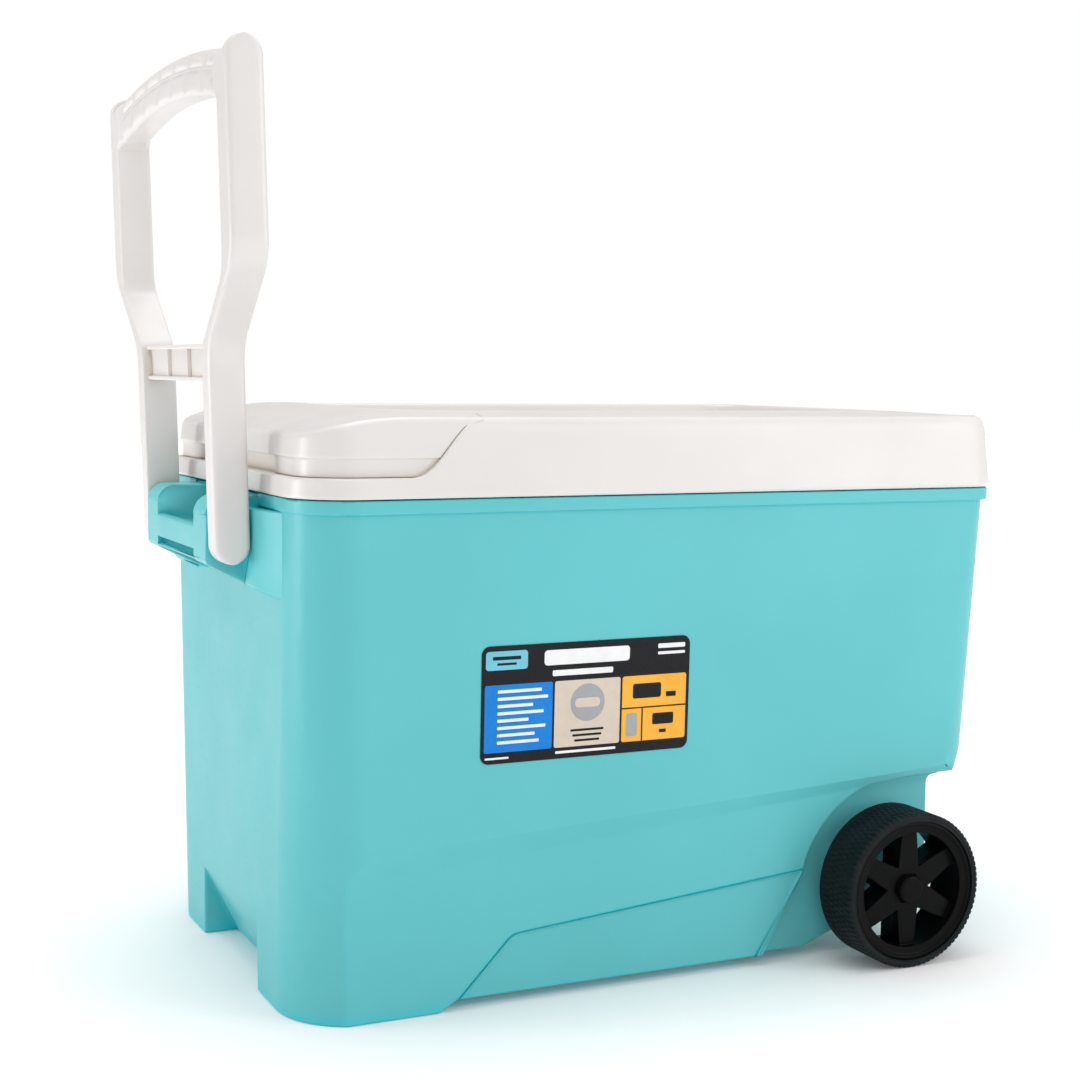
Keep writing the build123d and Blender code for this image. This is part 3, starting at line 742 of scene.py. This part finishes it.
def leaned(point):
    """Turns a point of the upright tow handle about its pivot to the angle at which it rests."""
    x, y, z = point
    dx, dz = x - PIVOT_X, z - PIVOT_Z
    c, s = math.cos(HANDLE_LEAN), math.sin(HANDLE_LEAN)
    return (PIVOT_X + dx * c - dz * s, y, PIVOT_Z + dx * s + dz * c)


def rounded_section(x0, x1, v0, v1, radii, face_steps):
    """(x, v) points once round a rounded rectangle; radii are for its v0 and v1 ends, in that order."""
    low_r, high_r = radii
    points = []
    corners = (
        (x1 - low_r, v0 + low_r, low_r, 270), (x1 - high_r, v1 - high_r, high_r, 0),
        (x0 + high_r, v1 - high_r, high_r, 90), (x0 + low_r, v0 + low_r, low_r, 180),
    )
    for i, (cx, cv, r, start) in enumerate(corners):
        arc = [unit(start + 22.5 * k) for k in range(5)]
        points += [(cx + r * across, cv + r * up) for across, up in arc]
        nx, nv, nr, nstart = corners[(i + 1) % 4]
        first = points[-1]
        across, up = unit(nstart)
        last = (nx + nr * across, nv + nr * up)
        steps = face_steps if i % 2 == 0 else 4
        shares = [k / steps for k in range(1, steps)]
        points += [(mix(first[0], last[0], share), mix(first[1], last[1], share)) for share in shares]
    return points


def bent(corners, straight_steps):
    """Points along straight runs joined by arcs; corners are (y, z, radius), with no radius at the ends."""
    points = []
    for i, (y, z, radius) in enumerate(corners[1:-1], 1):
        here = Vector((y, z))
        back = (Vector(corners[i - 1][:2]) - here).normalized()
        ahead = (Vector(corners[i + 1][:2]) - here).normalized()
        half = back.angle(ahead) / 2
        reach = radius / math.tan(half)
        start, end = here + back * reach, here + ahead * reach
        before = Vector(points[-1]) if points else Vector(corners[0][:2])
        first = 1 if points else 0
        points += [tuple(before.lerp(start, k / straight_steps)) for k in range(first, straight_steps)]
        middle = here + (back + ahead).normalized() * (radius / math.sin(half))
        arm = start - middle
        turn = arm.angle_signed(end - middle)
        for k in range(11):
            a = -turn * k / 10
            c, s = math.cos(a), math.sin(a)
            points.append((middle.x + arm.x * c - arm.y * s, middle.y + arm.x * s + arm.y * c))
    end = Vector(corners[-1][:2])
    before = Vector(points[-1])
    points += [tuple(before.lerp(end, k / straight_steps)) for k in range(1, straight_steps + 1)]
    return points


def arm_grid(side):
    """
    One arm: a half-round foot about the pivot, a jog outwards, and a half-round head, whose inner
    face moves out to make room for the grip.
    """
    outer = ((ARM_OUT, PIVOT_Z, 0), (ARM_OUT, 447.0, 32.0), (D_OUT, 501.0, 32.0), (D_OUT, HEAD_Z, 0))
    inner = ((ARM_IN, PIVOT_Z, 0), (ARM_IN, 445.0, 26.0), (D_IN, 493.0, 26.0), (D_IN, HEAD_Z, 0))
    steps = [unit(a) for a in (88, 80, 70, 60, 48, 36, 24, 12)]
    stations = []
    for across, up in steps:
        z = PIVOT_Z - ARM_HALF_DEPTH * up
        stations.append(((ARM_IN, z), (ARM_OUT, z), ARM_HALF_DEPTH * across))
    stations += [(i, o, ARM_HALF_DEPTH) for i, o in zip(bent(inner, 10), bent(outer, 10))]
    for across, up in reversed(steps):
        z = HEAD_Z + ARM_HALF_DEPTH * up
        stations.append(((D_IN, z), (D_OUT, z), ARM_HALF_DEPTH * across))
    rows = []
    for (iy, iz), (oy, oz), depth in stations:
        at_grip = smooth((iz - 600.0) / 12.0)
        iy = mix(iy, GRIP_END - 1.0, at_grip)
        width = math.hypot(oy - iy, oz - iz)
        radii = (min(1.6, depth * 0.6), min(4.0, depth * 0.6, width * 0.45))
        row = []
        for dx, v in rounded_section(-depth, depth, 0.0, width, radii, 5):
            share = v / width
            row.append(leaned((PIVOT_X + dx, side * mix(iy, oy, share), mix(iz, oz, share))))
        rows.append(row)
    return grid(rows)


def grip_top(y):
    middle_z, fall = 640.4, 13.5
    return middle_z - fall * (y / D_OUT) ** 2


def grip_under(y):
    """The grip's underside: an arch that runs down into each arm with a rounded corner."""
    middle_z, fall, corner_r = 613.0, 12.5, 6.0
    corner = min(max(abs(y) - GRIP_FLAT, 0.0), corner_r - 0.1)
    arch = fall * (min(abs(y), GRIP_FLAT + 0.5) / GRIP_FLAT) ** 2
    return middle_z - arch - (corner_r - math.sqrt(corner_r ** 2 - corner ** 2))


def finger_pads(y, v):
    """How far the grip's face swells at v of its height: a row of pads each side of the parting line."""
    for low, high, offset in PAD_ROWS:
        if low < v < high and abs(y) < PADS_HALF:
            along = abs((y / PAD_PITCH + offset + 100.5) % 1.0 * 2 - 1)
            up = abs((v - low) / (high - low) * 2 - 1)
            return PAD_SWELL * (1 - along ** 3) * (1 - up ** 3)
    if abs(y) < PARTING_HALF:
        return -PARTING_DEPTH * smooth(1 - abs(v - PARTING_LINE) / 0.03)
    return 0.0


def grip_grid():
    """The arched grip with its finger pads, from inside one arm's head to inside the other's."""
    rows = []
    count = 150
    for i in range(count + 1):
        y = mix(-GRIP_END, GRIP_END, i / count)
        low, high = grip_under(y), grip_top(y)
        depth = mix(GRIP_HALF_DEPTH, ARM_HALF_DEPTH - 0.15, smooth((abs(y) - 132.0) / 9.0))
        row = []
        for dx, v in rounded_section(-depth, depth, low, high, (3.0, 6.0), 26):
            if abs(dx) > depth - 0.01:
                dx += math.copysign(finger_pads(y, (v - low) / (high - low)), dx)
            row.append(leaned((PIVOT_X + dx, y, v)))
        rows.append(row)
    return grid(rows)


def block_grid(x0, x1, y0, y1, z0, z1, radius):
    """A straight bar along y, leaned with the handle, with rounded long edges."""
    section = rounded_section(x0, x1, z0, z1, (radius, radius), 2)
    return grid([[leaned((x, y, z)) for x, z in section] for y in (y0, y1)])


def tow_handle():
    """Two arms and the grip, with a crossbar that is a web, a flange at its top and bottom, and two ribs."""
    parts = [arm_grid(-1), arm_grid(1), grip_grid()]
    end = ARM_IN + 2
    parts.append(block_grid(-301.5, -297.0, -end, end, 424.0, 447.0, 0.6))
    for z in (423.0, 445.0):
        parts.append(block_grid(-305.0, -290.0, -end, end, z, z + 3.0, 1.0))
    for y in (-28.0, 28.0):
        parts.append(block_grid(-304.2, -299.0, y - 1.3, y + 1.3, 424.5, 446.5, 0.8))
    piece = add_piece("tow_handle_form", grid_mesh("tow_handle_form", *parts), "handle", "white_plastic")
    piece.data.set_sharp_from_angle(angle=math.radians(38))
    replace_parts(piece, "tow_handle")


# ---------------------------------------------------------------- wheels
TREAD_BLOCKS = 84
STEPS_PER_BLOCK = 6
TREAD_DEPTH = 0.75
SHOULDER_NICK = 0.35
TREAD_FROM = 0.13
PLAIN, BLOCKS_EARLY, BLOCKS_LATE, NICKS = range(4)
TREAD = (  # share of the tyre's width, and what its outside has there
    (0.03, PLAIN), (0.07, PLAIN), (0.12, PLAIN), (0.2, BLOCKS_EARLY), (0.3, BLOCKS_EARLY),
    (0.315, PLAIN), (0.335, PLAIN), (0.35, BLOCKS_LATE), (0.45, BLOCKS_LATE), (0.465, PLAIN),
    (0.485, PLAIN), (0.5, BLOCKS_EARLY), (0.6, BLOCKS_EARLY), (0.615, PLAIN), (0.635, PLAIN),
    (0.65, BLOCKS_LATE), (0.75, BLOCKS_LATE), (0.765, PLAIN), (0.785, PLAIN), (0.8, BLOCKS_EARLY),
    (0.86, BLOCKS_EARLY), (0.92, BLOCKS_EARLY), (0.955, BLOCKS_EARLY),
)
INNER_WALL = ((47.0, 0.0), (50.0, 0.0), (54.6, 0.006), (56.2, 0.02))  # radius, share of the width
OUTER_WALL = (
    (54.2, 1.0), (53.4, 1.0), (53.0, 0.993), (52.4, 0.993),
    (52.0, 1.0), (51.55, 1.0), (51.55, 0.916), (47.0, 0.9),
)


def tread_cut(kind, phase, grooved):
    """How deep the tread is cut at a phase of its block, from 0 to 1; grooved is for the plain rings."""
    if kind == BLOCKS_EARLY:
        return TREAD_DEPTH if phase < 0.3 else 0.0
    if kind == BLOCKS_LATE:
        return TREAD_DEPTH if 0.5 <= phase < 0.8 else 0.0
    if kind == NICKS:
        return SHOULDER_NICK if phase < 0.3 else 0.0
    return TREAD_DEPTH * 0.6 if grooved else 0.0


def tyre_mesh(side, name):
    """The tyre as one closed ring: treaded outside, a shoulder of small blocks, and a seat for the rim."""
    low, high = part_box(side + "_tyre")
    centre_x, centre_z = (low.x + high.x) / 2 / MM - LID_CENTRE, (low.z + high.z) / 2 / MM
    outward = -1 if side == "front" else 1
    inner_y, outer_y = sorted((abs(low.y), abs(high.y)))
    inner_y, outer_y = inner_y / MM, outer_y / MM
    radius = (high.z - low.z) / 2 / MM
    width = outer_y - inner_y
    profile = [(r, share, PLAIN) for r, share in INNER_WALL]
    profile += [(radius, share, kind) for share, kind in TREAD]
    profile += [(radius - 0.9, 0.985, BLOCKS_EARLY), (radius - 2.2, 1.0, NICKS)]
    profile += [(r, share, PLAIN) for r, share in OUTER_WALL]
    steps = TREAD_BLOCKS * STEPS_PER_BLOCK
    rows = []
    for r, share, kind in profile:
        y = outward * (inner_y + width * share)
        row = []
        for i in range(steps):
            cut = tread_cut(kind, i % STEPS_PER_BLOCK / STEPS_PER_BLOCK, r == radius and share > TREAD_FROM)
            a = 2 * math.pi * i / steps
            row.append((centre_x + (r - cut) * math.cos(a), y, centre_z + (r - cut) * math.sin(a)))
        rows.append(row)
    return grid_mesh(name, grid(rows, True))


def rim_radius(_middle, _length):
    return 0.7


def wheels():
    for side in ("front", "back"):
        name = side + "_tyre_tread"
        piece = add_piece(name, tyre_mesh(side, name), side + "_wheel", "tyre_rubber")
        piece.data.set_sharp_from_angle(angle=math.radians(50))
        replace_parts(piece, side + "_tyre")
        soft_copy(side + "_wheel_rim", rim_radius, sharp=25.0)


# ---------------------------------------------------------------- label
LABEL_LEAN = math.tan(math.radians(1.445))
LAYER = 0.05
INK_THICKNESS = 0.06
INKS = {
    "white": (0.78, 0.78, 0.78), "sky": (0.16, 0.50, 0.62), "blue": (0.01, 0.20, 0.62),
    "tan": (0.62, 0.53, 0.44), "amber": (0.86, 0.42, 0.05), "grey": (0.34, 0.35, 0.36),
    "ink": (0.012, 0.012, 0.014),
}
PANELS = (  # name, ink, its corners as shares of the label from the top left, corner radius in mm, layer
    ("tag", "sky", 0.018, 0.045, 0.212, 0.205, 2.2, 1),
    ("blue_panel", "blue", 0.015, 0.33, 0.332, 0.905, 1.6, 1),
    ("tan_panel", "tan", 0.342, 0.33, 0.658, 0.905, 1.6, 1),
    ("amber_panel", "amber", 0.668, 0.33, 0.985, 0.905, 1.6, 1),
    ("title_bar", "white", 0.29, 0.06, 0.70, 0.19, 2.4, 1),
    ("subtitle_bar", "white", 0.33, 0.235, 0.62, 0.285, 0.9, 1),
    ("corner_bar_high", "white", 0.84, 0.06, 0.975, 0.10, 0.8, 1),
    ("corner_bar_low", "white", 0.84, 0.13, 0.975, 0.155, 0.6, 1),
    ("foot_bar", "white", 0.35, 0.935, 0.64, 0.957, 0.4, 1),
    ("foot_bar_left", "white", 0.02, 0.945, 0.13, 0.962, 0.4, 1),
    ("tag_line", "ink", 0.05, 0.09, 0.18, 0.12, 0.4, 2),
    ("tag_line_low", "ink", 0.07, 0.145, 0.16, 0.165, 0.3, 2),
    ("amber_rule", "ink", 0.668, 0.605, 0.985, 0.618, 0.1, 2),
    ("amber_split", "ink", 0.765, 0.618, 0.772, 0.905, 0.1, 2),
    ("amber_block", "ink", 0.72, 0.40, 0.86, 0.53, 1.6, 2),
    ("amber_mark", "ink", 0.885, 0.485, 0.935, 0.53, 0.6, 2),
    ("amber_block_low", "ink", 0.82, 0.67, 0.925, 0.77, 1.2, 2),
    ("amber_mark_low", "ink", 0.855, 0.815, 0.89, 0.845, 0.5, 2),
    ("amber_can", "grey", 0.69, 0.655, 0.745, 0.86, 2.0, 2),
    ("tan_line", "ink", 0.42, 0.755, 0.58, 0.775, 0.3, 2),
    ("tan_line_middle", "ink", 0.43, 0.80, 0.57, 0.82, 0.3, 2),
    ("tan_line_low", "ink", 0.44, 0.845, 0.56, 0.865, 0.3, 2),
)
BLUE_LINE_ENDS = (0.28, 0.31, 0.24, 0.29, 0.22, 0.30, 0.25, 0.27)
DISC_U, DISC_V, DISC_R = 0.5, 0.53, 13.0


def plate_mesh(name, outline, place, lift):
    """A thin plate of ink: outline in label shares, and place(u, v, lift) gives its points."""
    count = len(outline)
    points = []
    for height in (0.0, INK_THICKNESS):
        points += [place(u, v, lift + height) for u, v in outline]
    faces = [tuple(range(count, 2 * count)), tuple(reversed(range(count)))]
    faces += [(i, (i + 1) % count, count + (i + 1) % count, count + i) for i in range(count)]
    mesh = bpy.data.meshes.new(name)
    mesh.from_pydata(points, [], faces)
    mesh.update()
    return mesh


def rounded_panel(u0, v0, u1, v1, radius, width, height):
    """A rounded rectangle in label shares, with its corner radius in mm."""
    ru, rv = radius / width, radius / height
    low_u, high_u, low_v, high_v = u0 + ru, u1 - ru, v0 + rv, v1 - rv
    corners = ((high_u, low_v, 270), (high_u, high_v, 0), (low_u, high_v, 90), (low_u, low_v, 180))
    outline = []
    for cu, cv, start in corners:
        for step in range(6):
            across, up = unit(start + 18 * step)
            outline.append((cu + ru * across, cv + rv * up))
    return outline


def label():
    """Plain panels, bars and a disc of coloured film on the label's plate."""
    low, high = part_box("label_plate")
    width, height = (high.x - low.x) / MM, (high.z - low.z) / MM
    inks = {ink: film_look("label_" + ink, colour).material for ink, colour in INKS.items()}

    def place(u, v, lift):
        y = low.y + v * height * MM * LABEL_LEAN - lift * MM
        return (low.x + u * (high.x - low.x), y, high.z - v * (high.z - low.z))

    def add_ink(name, ink, outline, lift):
        name = "label_" + name
        add_piece(name, plate_mesh(name, outline, place, lift), "body", "label_film", inks[ink])

    panels = list(PANELS)
    for i, end in enumerate(BLUE_LINE_ENDS):
        top = 0.375 + 0.062 * i
        panels.append((f"blue_line_{i + 1}", "white", 0.075, top, end, top + 0.026, 0.5, 2))
    for name, ink, *corners, radius, layer in panels:
        add_ink(name, ink, rounded_panel(*corners, radius, width, height), LAYER * layer - 0.02)
    disc = [
        (DISC_U + DISC_R * math.cos(a) / width, DISC_V + DISC_R * math.sin(a) / height)
        for a in spread(0, 2 * math.pi, 40)
    ]
    add_ink("disc", "grey", disc, 0.08)
    add_ink("disc_bar", "tan", rounded_panel(0.44, 0.49, 0.56, 0.57, 2.6, width, height), 0.13)


# ---------------------------------------------------------------- body and bracket
def body_radius(middle, _length):
    """The rim and the overhang's lower corner stay sharp, and the edges inside the walls nearly so."""
    overhang = middle.x > 226 and 144 < middle.z < 180
    if middle.z > 335 or overhang:
        return 0.0
    inside = abs(middle.y) < 160 and middle.z > 20 and middle.x > -255
    return 0.6 if inside else 2.2


def bracket_radius(middle, length):
    """Short edges stay sharp, and so do the wings' where they meet the body."""
    wing = abs(middle.y) > 84
    if length <= 6 or wing and middle.x >= -274:
        return 0.0
    return 1.2 if wing else 1.6


def place_everything():
    camera()
    studio()
    floor()
    for node, piece in NODES.items():
        piece.data.materials.clear()
        piece.data.materials.append(LOOKS[SLOT_OF[node]].material)
        piece.data.shade_smooth()
    soft_copy("body_shell", body_radius, flat=0.08)
    soft_copy("handle_bracket", bracket_radius)
    tow_handle()
    lid()
    wheels()
    label()


place_everything()
